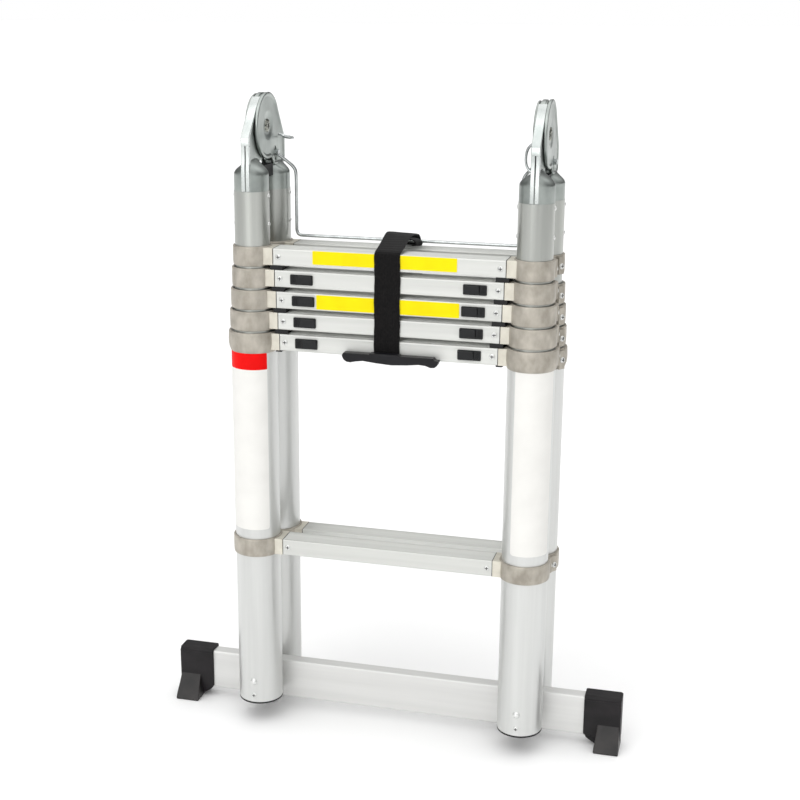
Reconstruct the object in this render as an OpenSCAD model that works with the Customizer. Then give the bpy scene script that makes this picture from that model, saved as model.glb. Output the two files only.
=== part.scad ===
// Folding telescopic ladder, closed up: two halves of five nested tube pairs, joined by two locking
// hinges at the top. X runs across the ladder, -Y is the front half's side and Z is up.
// The origin is on the floor, midway between the halves. All sizes are in millimetres.

/* [Frame] */
// Distance between the axes of the left and right tubes
tube_spacing = 390; // [370:5:420]
// Distance between the tube axes of the front and rear halves when folded
half_spacing = 90; // [88:1:94]
// Height of the hinge pivots above the floor
pivot_z = 866; // [866:1:876]

/* [Tubes] */
// Outer radius of the innermost tube
first_tube_r = 24; // [23.5:0.5:24.5]
// Growth in radius from one tube to the next
tube_step = 2; // [1.9:0.05:2.1]
// Wall thickness of every tube
tube_wall = 1.5; // [1.3:0.1:1.6]
// Length of tube that stays inside its neighbour when pulled out
tube_overlap = 60; // [50:5:80]
// Height of the front tubes' lower rims above the floor
tube_lift = 31; // [29:1:34]

/* [Treads] */
// Height of the middle tread's top face above the floor
mid_tread_top = 288; // [270:1:300]
// Distance from tread to tread on the opened ladder
rung_spacing = 301.5; // [290:0.5:305]
// Distance from tread to tread on the closed ladder
closed_pitch = 29.6; // [29.4:0.1:31]
// Depth of a tread
tread_depth = 34; // [30:1:36]
// Height of a tread
tread_h = 23.2; // [21:0.1:23.6]
// Wall thickness of a tread
tread_wall = 2; // [1.5:0.1:2.5]
// How far the rear hinge arms hang below the front ones
hinge_drop = 7; // [5:0.5:8]
// Gap left above the rear half's second tread, which stands on the rear feet
rear_gap = 10.5; // [6:0.5:12]

/* [Stabiliser bar] */
// Length of the bar over its boots
bar_span = 672; // [600:4:720]
// Height of the bar
bar_h = 60; // [50:1:60]
// Thickness of the bar
bar_t = 20; // [16:1:20]

/* [Buttons] */
// Length of a slide button
button_w = 32; // [30:1:34]
// Height of a slide button
button_h = 14; // [12:1:15]
// How far a button slides
button_travel = 8; // [6:0.5:9]
// Radius of a lock pin
pin_r = 3; // [2.5:0.1:3.5]

/* [Hidden] */
$fn = 64;
eps = 0.02;
last = 5;
half_x = tube_spacing / 2;
half_y = half_spacing / 2;
travel = rung_spacing - closed_pitch;

// Collars
collar_wall = 2.8;
collar_rise = 1.5;
collar_h = 27;
base_collar_h = 29;
mid_collar_h = 26;
block_reach = 10.3;
spigot_len = 16;
fit_gap = 0.1;
lug_angle = 35;
lug_r = 6.5;
lug_h = 5;

// Buttons, measured from the end of their tread
button_inset = 23;
button_lift = 0.3;
plate_t = 1.2;
pad_t = 2.8;
pad_len = 22;
neck_from = 10;
neck_len = 10;
neck_h = 7;
slot_gap = 0.7;

// Base
rim_h = 2.5;
plug_h = 15;
bar_z = 14.5;
bar_y = first_tube_r + 4 * tube_step - half_y + bar_t / 2;
bar_wall = 2;
bolt_z = 66;
screw_z = 44;
bolt_r = 4;
boot_w = 53;
boot_wall = 3.5;
sole_w = 35;

// Hinges
arm_t = 12;
wall_in = 2.6;
plate_in = 6.3;
plate_out = 9.3;
plate_r = 45;
disc_r = 44.5;
head_r = 36;
pivot_r = 8;
run_gap = 0.06;
hinge_plug_r = 23.5;
hinge_plug_wall = 3;
plug_straight = 25;
tube_1_top = pivot_z - 83;
lock_y = 30;
lock_r = 4;
lock_z = pivot_z - sqrt(pow(disc_r + 0.4 + lock_r, 2) - pow(lock_y, 2));
lock_in = 4;
lock_out = 5.5;

// Bail wire, from a lock bolt's end to the middle of the ladder: x inwards, y back, z up
wire_r = 2.3;
wire_x = half_x - 34;
bail_z = pivot_z - 156.5;
wire_path = [
    [half_x - 13, lock_y, lock_z],
    [half_x - 19, 33, pivot_z - 22],
    [half_x - 27, 38, pivot_z - 20],
    [half_x - 33, 42, pivot_z - 27],
    [half_x - 33, 44, pivot_z - 36],
    [half_x - 25, 45, pivot_z - 51],
    [half_x - 27, 45, pivot_z - 60],
    [wire_x, 45, pivot_z - 71],
    [wire_x, 45, bail_z + 8],
    [wire_x - 2.5, 45, bail_z + 2.5],
    [wire_x - 8, 45, bail_z],
    [0, 45, bail_z]
];

// Strap and handle
strap_w = 36;
strap_t = 2.2;
grip_len = 134;
grip_x = 8;
grip_t = 13;
grip_h = 10;
grip_wave = 3;

// Stage 1 is the innermost tube pair and stage 5 the outermost. The mid tread counts as stage 6.
function tube_r(k) = first_tube_r + tube_step * (min(k, last) - 1);
function drop(rear, k) = rear ? hinge_drop + (k > 1 ? rear_gap : 0) : 0;
function top_of(rear, k) =
    mid_tread_top - drop(rear, k) + (k > last ? 0 : rung_spacing + (last - k) * closed_pitch);
function mid_of(rear, k) = top_of(rear, k) - tread_h / 2;
function tread_end(k) = half_x - tube_r(k) - block_reach;
function tube_top(rear, k) =
    k == 1 ? tube_1_top - drop(rear, 1) : top_of(rear, k) + collar_rise;
function tube_bottom(rear, k) =
    k == last ? tube_lift + rim_h - drop(rear, k)
              : top_of(false, k + 1) + collar_rise - travel - tube_overlap - drop(rear, k);

// Outline of a rectangle with round corners, centred on the origin
function round_box(w, h, r) = [
    for (c = [[1, 1, 0], [-1, 1, 90], [-1, -1, 180], [1, -1, 270]], a = [0:15:90])
        [c[0] * (w / 2 - r) + r * cos(c[2] + a), c[1] * (h / 2 - r) + r * sin(c[2] + a)]
];

// Puts a half's own frame, tube axes at y = 0 and front at -Y, into the ladder
module half(rear) {
    translate([0, rear ? half_y : -half_y, 0])
        mirror([0, rear ? 1 : 0, 0])
            children();
}

// Repeats on the left tube and, mirrored, on the right tube
module both_sides() {
    for (s = [0, 1])
        mirror([1 - s, 0, 0])
            translate([half_x, 0, 0])
                children();
}

module along_x(len) {
    rotate([90, 0, 90])
        linear_extrude(len, center = true)
            children();
}

// ---- Tubes, collars and treads ----

module pin_hole(z) {
    translate([0, 0, z])
        rotate([0, -90, 0])
            cylinder(r = pin_r + fit_gap, h = tube_r(last) + 1);
}

module tube_pair(rear, k) {
    low = tube_bottom(rear, k);
    color([0.78, 0.79, 0.80])
    half(rear) both_sides()
        difference() {
            translate([0, 0, low])
                cylinder(r = tube_r(k), h = tube_top(rear, k) - low);
            translate([0, 0, low - 1])
                cylinder(r = tube_r(k) - tube_wall, h = tube_top(rear, k) - low + 2);
            if (k > 1) pin_hole(mid_of(rear, k));
            if (k < last) pin_hole(mid_of(false, k + 1) - travel - drop(rear, k));
            if (k == last && !rear)
                translate([0, 0, bolt_z])
                    rotate([90, 0, 0])
                        cylinder(r = bolt_r + fit_gap, h = 100, center = true);
            if (k == last && !rear)
                translate([0, -tube_r(k), screw_z])
                    rotate([90, 0, 0])
                        cylinder(r = 2, h = 10, center = true);
        }
}

// One clamp: a ring round the tube, a block towards the tread and a spigot into its end
module clamp(rear, k, ring_h) {
    top = top_of(rear, k);
    mid = mid_of(rear, k);
    reach = block_reach + tube_r(k);
    difference() {
        union() {
            translate([0, 0, top + collar_rise - ring_h])
                cylinder(r = tube_r(k) + collar_wall, h = ring_h);
            translate([-reach, -tread_depth / 2, top - tread_h])
                cube([reach, tread_depth, tread_h]);
            translate([-reach - spigot_len, 0, mid])
                translate([0, -tread_depth / 2 + tread_wall, -tread_h / 2 + tread_wall])
                    cube([spigot_len + eps, tread_depth - 2 * tread_wall, tread_h - 2 * tread_wall]);
            rotate([0, 0, lug_angle])
                translate([tube_r(k), 0, mid])
                    rotate([0, 90, 0])
                        cylinder(r = lug_r, h = collar_wall + lug_h);
        }
        translate([0, 0, top - 50])
            cylinder(r = tube_r(k), h = 100);
        if (k > 1 && k <= last)
            translate([-reach - spigot_len - 1, 0, mid])
                rotate([0, 90, 0])
                    cylinder(r = pin_r + fit_gap, h = reach + spigot_len);
    }
}

module collar_pair(rear, k) {
    color([0.73, 0.71, 0.66])
    half(rear) both_sides() {
        clamp(rear, k, k == last ? base_collar_h : collar_h);
        if (k == last) clamp(rear, k + 1, mid_collar_h);
    }
}

module tread(rear, k) {
    mid = mid_of(rear, k);
    difference() {
        translate([0, 0, mid])
            along_x(2 * tread_end(k)) polygon(round_box(tread_depth, tread_h, 2.2));
        translate([0, 0, mid])
            along_x(2 * tread_end(k) + 2)
                square([tread_depth - 2 * tread_wall, tread_h - 2 * tread_wall], center = true);
        if (k > 1 && k <= last)
            for (s = [-1, 1])
                translate([s * (tread_end(k) - button_inset - neck_from - neck_len / 2 - button_travel / 2),
                           -tread_depth / 2, mid])
                    cube([neck_len + button_travel + 2 * slot_gap, 3 * tread_wall, neck_h + 2 * slot_gap],
                         center = true);
    }
}

module stage_tread(rear, k) {
    color([0.82, 0.83, 0.83])
    half(rear) {
        tread(rear, k);
        if (k == last) tread(rear, k + 1);
    }
}

// A slide button with its pull rod, which ends as the lock pin in the tube's wall
module button(rear, k, side) {
    outer = tread_end(k) - button_inset;
    face = -tread_depth / 2 - button_lift;
    rod_from = outer - neck_from - neck_len;
    rod_to = half_x - tube_r(k) + tube_wall;
    color([0.08, 0.08, 0.08])
    half(rear)
        mirror([side < 0 ? 1 : 0, 0, 0])
            translate([0, 0, mid_of(rear, k)]) {
                translate([outer - button_w, face - plate_t, -button_h / 2])
                    cube([button_w, plate_t, button_h]);
                translate([outer - button_w, face - plate_t - pad_t, -button_h / 2 + 1])
                    cube([pad_len, pad_t + eps, button_h - 2]);
                translate([rod_from, face - eps, -neck_h / 2])
                    cube([neck_len, -face + 1, neck_h]);
                translate([rod_from, 0, 0])
                    rotate([0, 90, 0])
                        cylinder(r = pin_r, h = rod_to - rod_from);
            }
}

// ---- Hinges ----

// Closes the top of a tube and narrows to a hinge arm of the given half width
module hinge_plug(drop_z, top_half, roof) {
    base = tube_1_top - drop_z;
    straight = base + plug_straight;
    difference() {
        intersection() {
            translate([0, 0, base])
                cylinder(r = hinge_plug_r, h = plug_straight + roof);
            rotate([90, 0, 0])
                linear_extrude(2 * hinge_plug_r + 2, center = true)
                    polygon([
                        [-hinge_plug_r, base], [hinge_plug_r, base], [hinge_plug_r, straight],
                        [0.6 * hinge_plug_r + 0.4 * top_half, straight + 0.55 * roof],
                        [top_half, straight + roof], [-top_half, straight + roof],
                        [-0.6 * hinge_plug_r - 0.4 * top_half, straight + 0.55 * roof],
                        [-hinge_plug_r, straight]
                    ]);
        }
        translate([0, 0, base - 1])
            cylinder(r = hinge_plug_r - hinge_plug_wall, h = plug_straight);
    }
    translate([0, 0, base - 40])
        difference() {
            cylinder(r = first_tube_r - tube_wall - 0.05, h = 40 + eps);
            translate([0, 0, -1])
                cylinder(r = hinge_plug_r - hinge_plug_wall, h = 42);
        }
}

module at_pivot() {
    translate([0, 0, pivot_z])
        rotate([90, 0, 90])
            children();
}

// The front arm's side outline, y and z from the pivot
module front_outline() {
    circle(r = head_r);
    polygon([[-66.5, -44], [-66, -13], [-22, 37.5], [0, 36], [20, 0], [0, -34], [-23, -44]]);
}

module front_flange() {
    polygon([[-66.5, -44], [-66, -13], [-22, 37.5], [-20, 34.5], [-62.8, -14.2], [-63.3, -44]]);
}

// Half of a front arm: a pressed side wall, its front flange and half of the tube plug
module front_shell() {
    difference() {
        union() {
            at_pivot()
                translate([0, 0, wall_in])
                    linear_extrude(arm_t / 2 - wall_in) front_outline();
            at_pivot()
                linear_extrude(arm_t / 2) front_flange();
            translate([0, -half_y, 0])
                intersection() {
                    hinge_plug(0, arm_t / 2, 16);
                    translate([0, -100, 0])
                        cube([100, 200, pivot_z]);
                }
        }
        at_pivot()
            cylinder(r = pivot_r, h = 40, center = true);
        at_pivot()
            cylinder(r = disc_r + 0.1, h = 2 * wall_in, center = true);
        translate([-1, -150, 0])
            cube([1.15, 300, 1000]);
    }
}

module front_hinge_shells() {
    color([0.70, 0.71, 0.72])
    both_sides() {
        front_shell();
        mirror([1, 0, 0]) front_shell();
    }
}

// The rear arm's side outline, y and z from the pivot
module rear_outline() {
    circle(r = plate_r);
    polygon([[23, -54], [67, -54], [67, -21], [41, 18.5], [0, 0], [4, -44]]);
}

module lock_slot(clear) {
    for (z = [lock_in, -lock_out])
        translate([0, lock_y, lock_z + z])
            rotate([0, 90, 0])
                cylinder(r = lock_r + clear, h = 60, center = true);
    translate([-30, lock_y - lock_r - clear, lock_z - lock_out])
        cube([60, 2 * (lock_r + clear), lock_in + lock_out]);
}

module rear_hinge_plates() {
    color([0.74, 0.75, 0.76])
    both_sides()
        difference() {
            union() {
                at_pivot()
                    difference() {
                        linear_extrude(2 * plate_out, center = true) rear_outline();
                        linear_extrude(2 * plate_in, center = true)
                            translate([-100, -100])
                                square([164, 200]);
                    }
                translate([0, half_y, 0])
                    hinge_plug(hinge_drop, plate_out, 13);
            }
            at_pivot()
                cylinder(r = pivot_r + run_gap, h = 40, center = true);
            lock_slot(0.3);
            translate([-plate_in, 0, pivot_z - 52])
                cube([2 * plate_in, 64, 100]);
            translate([-plate_in, 50, pivot_z - 21])
                cube([2 * plate_in, 30, 60]);
        }
}

// Locking discs on the front arms, notched for the bolts of the folded and the straight ladder
module hinge_lock_discs() {
    color([0.60, 0.61, 0.62])
    both_sides()
        difference() {
            at_pivot()
                cylinder(r = disc_r, h = 2 * wall_in, center = true);
            at_pivot()
                cylinder(r = pivot_r, h = 40, center = true);
            for (turn = [0, 180])
                translate([0, 0, pivot_z])
                    rotate([turn, 0, 0])
                        translate([0, 0, -pivot_z])
                            lock_slot(0.3);
        }
}

module hinge_pivots() {
    color([0.80, 0.80, 0.80])
    both_sides()
        at_pivot() {
            cylinder(r = pivot_r, h = 2 * plate_out + 1, center = true);
            for (s = [-1, 1])
                translate([0, 0, s * (plate_out + 1.3)])
                    cylinder(r = 12, h = 2, center = true);
        }
}

module hinge_stop_blocks() {
    color([0.07, 0.07, 0.07])
    both_sides()
        difference() {
            translate([-8, -26, pivot_z - 70])
                cube([16, 46.8, 17]);
            translate([0, -half_y, 0])
                cylinder(r = hinge_plug_r, h = pivot_z);
        }
}

// A rod with round ends between two points
module rod(a, b, r) {
    v = b - a;
    translate(a) {
        sphere(r = r + eps);
        rotate([0, acos(v[2] / norm(v)), atan2(v[1], v[0])])
            cylinder(r = r, h = norm(v));
    }
}

module release_bail() {
    color([0.75, 0.76, 0.77]) {
        for (s = [0, 1])
            mirror([s, 0, 0])
                for (i = [0:len(wire_path) - 2])
                    rod(wire_path[i], wire_path[i + 1], wire_r, $fn = 24);
        both_sides()
            translate([0, lock_y, lock_z])
                rotate([0, 90, 0])
                    cylinder(r = lock_r, h = 28, center = true);
    }
}

// ---- Base ----

module stabiliser_bar() {
    color([0.83, 0.84, 0.84])
    difference() {
        translate([0, bar_y, bar_z + bar_h / 2])
            along_x(bar_span - 2 * boot_wall) polygon(round_box(bar_t, bar_h, 2.5));
        translate([0, bar_y, bar_z + bar_h / 2])
            along_x(bar_span)
                square([bar_t - 2 * bar_wall, bar_h - 2 * bar_wall], center = true);
        both_sides()
            translate([0, bar_y - bar_t / 2, bolt_z])
                rotate([90, 0, 0])
                    cylinder(r = bolt_r + fit_gap, h = 3 * bar_wall, center = true);
    }
}

// A rubber boot over the end of the bar, with a sole that juts forward
module boot() {
    back = bar_y + bar_t / 2 + boot_wall;
    front = bar_y - bar_t / 2 - boot_wall;
    difference() {
        union() {
            translate([-boot_w, front, bar_z - boot_wall])
                cube([boot_w, back - front, bar_h + 2 * boot_wall]);
            translate([-sole_w / 2, 0, 0])
                along_x(sole_w)
                    polygon([[front - 21, 0], [front + 11, 0], [back, bar_z - boot_wall + 1],
                             [back, 36], [front, 36], [front - 17, 9]]);
        }
        translate([-boot_w - 1, bar_y - bar_t / 2, bar_z])
            cube([boot_w + 1 - boot_wall, bar_t, bar_h]);
    }
}

module bar_boots() {
    color([0.06, 0.06, 0.06])
    for (s = [0, 1])
        mirror([s, 0, 0])
            translate([bar_span / 2, 0, 0])
                boot();
}

module bar_bolts() {
    front = -half_y - tube_r(last);
    nut_y = bar_y - bar_t / 2 + bar_wall;
    color([0.75, 0.75, 0.74])
    both_sides() {
        translate([0, nut_y + 6, bolt_z])
            rotate([90, 0, 0])
                cylinder(r = bolt_r, h = nut_y + 6 - front + 1);
        translate([0, nut_y + 5, bolt_z])
            rotate([90, 0, 0])
                cylinder(r = 7, h = 5, $fn = 6);
        translate([0, front, bolt_z])
            rotate([90, 0, 0])
                cylinder(r = 6, h = 4);
        translate([0, front, screw_z])
            rotate([90, 0, 0])
                cylinder(r = 3.5, h = 1.7);
        translate([0, front - 1, screw_z])
            rotate([-90, 0, 0])
                cylinder(r = 1.9, h = 9.3);
    }
}

// Rim and spigot that close a tube's lower end
module end_plug(foot_h) {
    r = tube_r(last);
    difference() {
        union() {
            cylinder(r = r, h = foot_h);
            cylinder(r = r - tube_wall, h = foot_h + plug_h);
        }
        translate([0, 0, foot_h])
            cylinder(r = r - tube_wall - 4, h = plug_h + 1);
        translate([0, -r, screw_z - tube_lift])
            rotate([90, 0, 0])
                cylinder(r = 1.9, h = 20, center = true);
    }
}

module front_end_plugs() {
    color([0.06, 0.06, 0.06])
    half(false) both_sides()
        translate([0, 0, tube_lift])
            end_plug(rim_h);
}

module rear_feet() {
    color([0.06, 0.06, 0.06])
    half(true) both_sides()
        end_plug(tube_bottom(true, last));
}

// ---- Strap ----

// A corner of a closed path, moved sideways with its two edges
function mitre(path, i, by) =
    let (n = len(path),
         before = path[i] - path[(i + n - 1) % n],
         after = path[(i + 1) % n] - path[i],
         side = [-before[1], before[0]] / norm(before) + [-after[1], after[0]] / norm(after))
    path[i] + side * (2 * by / (side * side));

// A ribbon seen from the side, along a closed path of y and z points that runs clockwise
module ribbon(path) {
    difference() {
        polygon([for (i = [0:len(path) - 1]) mitre(path, i, strap_t / 2)]);
        polygon([for (i = [0:len(path) - 1]) mitre(path, i, -strap_t / 2)]);
    }
}

module carry_strap() {
    face = half_y + tread_depth / 2 + strap_t / 2 + 0.4;
    inner = half_y - tread_depth / 2 - 3;
    gap = strap_t / 2 + 0.4;
    color([0.05, 0.05, 0.05])
    along_x(strap_w)
        ribbon([
            [-face, top_of(false, last) - tread_h - gap], [-face, top_of(false, 1) + gap],
            [0, top_of(false, 1) + gap + 3], [half_y, bail_z + wire_r + gap + 0.5],
            [face, top_of(true, 1) + gap + 1], [face, top_of(true, last) - tread_h - gap],
            [inner, top_of(true, last) - tread_h - gap],
            [-inner, top_of(false, last) - tread_h - gap]
        ]);
}

module strap_handle() {
    face = -half_y - tread_depth / 2 - strap_t - 1;
    top = top_of(false, last) - tread_h + 7;
    color([0.05, 0.05, 0.05])
    translate([grip_x, face, top])
        rotate([90, 0, 0])
            linear_extrude(grip_t)
                polygon(concat(
                    [[-grip_len / 2, 0], [-grip_len / 2, -grip_h]],
                    [for (a = [0:15:1440])
                        [grip_len * (a / 1440 - 0.5), -grip_h - grip_wave * (1 - cos(a)) / 2]],
                    [[grip_len / 2, 0]]
                ));
}

// ---- Assembly ----

function side_name(s) = s < 0 ? "left" : "right";

for (k = [1:last]) tube_pair(false, k);
for (k = [1:last]) tube_pair(true, k);
for (k = [1:last]) collar_pair(false, k);
for (k = [1:last]) collar_pair(true, k);
for (k = [1:last - 1]) stage_tread(false, k);
for (k = [1:last - 1]) stage_tread(true, k);
stage_tread(false, last);  // front_base_treads
stage_tread(true, last);  // rear_base_treads
for (k = [2:last], s = [-1, 1])
    button(false, k, s);
for (k = [2:last], s = [-1, 1])
    button(true, k, s);
front_hinge_shells();
rear_hinge_plates();
hinge_lock_discs();
hinge_pivots();
hinge_stop_blocks();
release_bail();
stabiliser_bar();
bar_boots();
bar_bolts();
front_end_plugs();
rear_feet();
carry_strap();
strap_handle();
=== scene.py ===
"""Looks of a folding telescopic ladder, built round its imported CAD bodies.

Lengths in the code are millimetres unless a name says otherwise; pieces are made in metres.
Inside a half, x points away from the ladder's middle, y points to the other half and z is up.
"""
import math
import bpy
import bmesh
from mathutils import Matrix, Vector


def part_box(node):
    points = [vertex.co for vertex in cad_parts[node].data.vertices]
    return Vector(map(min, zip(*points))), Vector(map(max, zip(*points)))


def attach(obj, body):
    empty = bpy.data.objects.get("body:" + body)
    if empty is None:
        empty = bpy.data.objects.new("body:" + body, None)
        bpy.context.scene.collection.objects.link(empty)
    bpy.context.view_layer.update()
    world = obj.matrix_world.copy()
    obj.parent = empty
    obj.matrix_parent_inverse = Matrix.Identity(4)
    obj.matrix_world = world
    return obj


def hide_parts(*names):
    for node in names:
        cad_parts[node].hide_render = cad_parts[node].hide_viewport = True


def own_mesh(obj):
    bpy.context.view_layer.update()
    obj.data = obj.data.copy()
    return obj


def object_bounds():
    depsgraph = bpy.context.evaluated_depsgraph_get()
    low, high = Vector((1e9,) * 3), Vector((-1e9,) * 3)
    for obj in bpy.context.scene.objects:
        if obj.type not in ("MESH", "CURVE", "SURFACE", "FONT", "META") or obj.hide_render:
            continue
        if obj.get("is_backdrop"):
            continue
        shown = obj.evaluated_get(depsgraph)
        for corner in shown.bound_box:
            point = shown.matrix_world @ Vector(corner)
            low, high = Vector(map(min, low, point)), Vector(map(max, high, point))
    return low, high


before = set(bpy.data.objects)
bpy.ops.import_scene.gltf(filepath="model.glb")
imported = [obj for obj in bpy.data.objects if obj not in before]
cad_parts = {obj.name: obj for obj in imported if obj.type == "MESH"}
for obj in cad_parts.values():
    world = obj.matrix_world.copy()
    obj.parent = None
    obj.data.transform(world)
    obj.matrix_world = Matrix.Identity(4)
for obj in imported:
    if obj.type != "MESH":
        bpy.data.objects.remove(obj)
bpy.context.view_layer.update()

MM = 0.001
HALVES = ("front", "rear")
TURN = {"front": 1, "rear": -1}  # the rear half is the mirror image of the front
SIDES = (-1, 1)
STAGES = (1, 2, 3, 4, 5)
MID = 6  # the middle tread, fixed to stage 5


# ---- Measures from the frame ----

def box_mm(node):
    low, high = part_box(node)
    return low / MM, high / MM


def stage_body(half, k):
    return f"{half}_stage_{k}" if k < 5 else f"{half}_base"


def tread_node(half, k):
    return f"{half}_tread_{k}" if k < 5 else f"{half}_base_treads"


def treads_of(k):
    """The treads that move with stage k."""
    return (k, MID) if k == 5 else (k,)


def stage_facts(half, k):
    """Radius of the tube, its axis, and the ends and top of tread k of a half."""
    low, high = box_mm(f"{half}_tubes_{min(k, 5)}")
    radius = (high.y - low.y) / 2
    tread_low, tread_high = box_mm(tread_node(half, k))
    four_low, four_high = box_mm(f"{half}_tread_4")
    height = four_high.z - four_low.z
    return {
        "r": radius,
        "x": high.x - radius,
        "y": (low.y + high.y) / 2,
        "top": tread_low.z + height if k == MID else tread_high.z,
        "h": height,
        "end": tread_high.x,
        "depth": tread_high.y - tread_low.y,
        "tube_top": high.z,
    }


FACTS = {(half, k): stage_facts(half, k) for half in HALVES for k in (*STAGES, MID)}
HALF_X = FACTS["front", 1]["x"]
pivot_low, pivot_high = box_mm("hinge_pivots")
PIVOT_Z = (pivot_low.z + pivot_high.z) / 2


def place(half, side):
    """Matrix from a half's own frame at one tube's axis to the ladder's frame."""
    y = FACTS[half, 1]["y"]
    return Matrix.Translation((side * HALF_X, y, 0)) @ Matrix.Diagonal((side, TURN[half], 1, 1))


# ---- Building pieces ----

class Shape:
    """Closed shells in millimetres that become one piece."""

    def __init__(self):
        self.verts, self.faces, self.slots = [], [], []

    def add(self, verts, faces, at=None, mat=0):
        first = len(self.verts)
        self.verts += [at @ Vector(v) if at else Vector(v) for v in verts]
        self.faces += [[first + i for i in f] for f in faces]
        self.slots += [mat] * len(faces)

    def prism(self, outline, low, high, at=None, mat=0):
        """An outline in x and y, extruded in z."""
        n = len(outline)
        verts = [(x, y, z) for z in (low, high) for x, y in outline]
        sides = [[i, (i + 1) % n, n + (i + 1) % n, n + i] for i in range(n)]
        self.add(verts, [list(range(n))[::-1], list(range(n, 2 * n)), *sides], at, mat)

    def loft(self, rings, at=None, mat=0, closed=False):
        """Rings of equally many points joined in order, with caps unless the last joins the first."""
        n, m = len(rings[0]), len(rings)
        verts = [v for ring in rings for v in ring]
        faces = [[j * n + i, j * n + (i + 1) % n, (j + 1) % m * n + (i + 1) % n, (j + 1) % m * n + i]
                 for j in range(m if closed else m - 1) for i in range(n)]
        if not closed:
            faces += [list(range(n))[::-1], list(range((m - 1) * n, m * n))]
        self.add(verts, faces, at, mat)

    def lathe(self, profile, at=None, mat=0, count=64, closed=False):
        """A profile of radius and height turned about z; closed makes a ring of it."""
        def ring(r, z):
            return [(r * math.cos(2 * math.pi * i / count), r * math.sin(2 * math.pi * i / count), z)
                    for i in range(count)]
        self.loft([ring(r, z) for r, z in profile], at, mat, closed)

    def sweep(self, path, section, up, at=None):
        """A section in side and up directions carried along a path."""
        rings, up = [], Vector(up)
        for i, p in enumerate(path):
            before, after = path[max(i - 1, 0)], path[min(i + 1, len(path) - 1)]
            ahead = (Vector(after) - Vector(before)).normalized()
            side = ahead.cross(up).normalized()
            up = side.cross(ahead).normalized()
            rings.append([Vector(p) + side * a + up * b for a, b in section])
        self.loft(rings, at)

    def piece(self, name, body, materials, slot=None, replaces=(), bevel=0, sharp=35, subdivide=0):
        mesh = bpy.data.meshes.new(name)
        bm = bmesh.new()
        made = [bm.verts.new(v * MM) for v in self.verts]
        for f, s in zip(self.faces, self.slots):
            bm.faces.new([made[i] for i in f]).material_index = s
        bmesh.ops.recalc_face_normals(bm, faces=bm.faces)
        for f in bm.faces:
            f.smooth = True
        for e in bm.edges:
            e.smooth = len(e.link_faces) == 2 and e.calc_face_angle(0) < math.radians(sharp)
        bm.to_mesh(mesh)
        bm.free()
        obj = bpy.data.objects.new(name, mesh)
        bpy.context.scene.collection.objects.link(obj)
        for m in materials if isinstance(materials, (list, tuple)) else [materials]:
            mesh.materials.append(m)
        if bevel:
            mod = obj.modifiers.new("edges", "BEVEL")
            mod.width, mod.segments, mod.limit_method = bevel * MM, 3, "ANGLE"
            mod.angle_limit, mod.harden_normals = math.radians(sharp), True
            mod.use_clamp_overlap = True
        if subdivide:
            obj.modifiers.new("smooth", "SUBSURF").levels = subdivide
            obj.modifiers["smooth"].render_levels = subdivide
        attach(obj, body)
        if replaces:
            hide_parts(*([replaces] if isinstance(replaces, str) else replaces))
        return obj


def settle(obj):
    """Applies an object's modifiers to its mesh."""
    graph = bpy.context.evaluated_depsgraph_get()
    mesh = bpy.data.meshes.new_from_object(obj.evaluated_get(graph))
    obj.modifiers.clear()
    obj.data = mesh


def arc(radius, start, end, count, centre=(0, 0)):
    """Points of an arc, angles in degrees."""
    return [(centre[0] + radius * math.cos(math.radians(start + (end - start) * i / (count - 1))),
             centre[1] + radius * math.sin(math.radians(start + (end - start) * i / (count - 1))))
            for i in range(count)]


def rounded(w, h, r, count=5):
    """A rectangle with round corners about the origin."""
    return [p for cx, cy, a in ((1, 1, 0), (-1, 1, 90), (-1, -1, 180), (1, -1, 270))
            for p in arc(r, a, a + 90, count, (cx * (w / 2 - r), cy * (h / 2 - r)))]


def rounder(path, step, times=3, closed=False):
    """A path cut into short steps, with its corners worn round."""
    fine = []
    for a, b in zip(path, path[1:] + ([path[0]] if closed else [])):
        a, b = Vector(a), Vector(b)
        n = max(1, round((b - a).length / step))
        fine += [a.lerp(b, i / n) for i in range(n)]
    if not closed:
        fine.append(Vector(path[-1]))
    for _ in range(times):
        fine = [(fine[i - 1] + fine[i] * 2 + fine[(i + 1) % len(fine)]) / 4
                if closed or 0 < i < len(fine) - 1 else fine[i] for i in range(len(fine))]
    return fine


def facing(point, direction):
    """Matrix that puts local z along a direction at a point."""
    turn = Vector((0, 0, 1)).rotation_difference(Vector(direction))
    return Matrix.Translation(point) @ turn.to_matrix().to_4x4()


# ---- Materials ----

def tinted(c):
    """Linear colour of an sRGB one from 0 to 255."""
    return tuple(((v / 255 + 0.055) / 1.055) ** 2.4 for v in c) + (1,)


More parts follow.
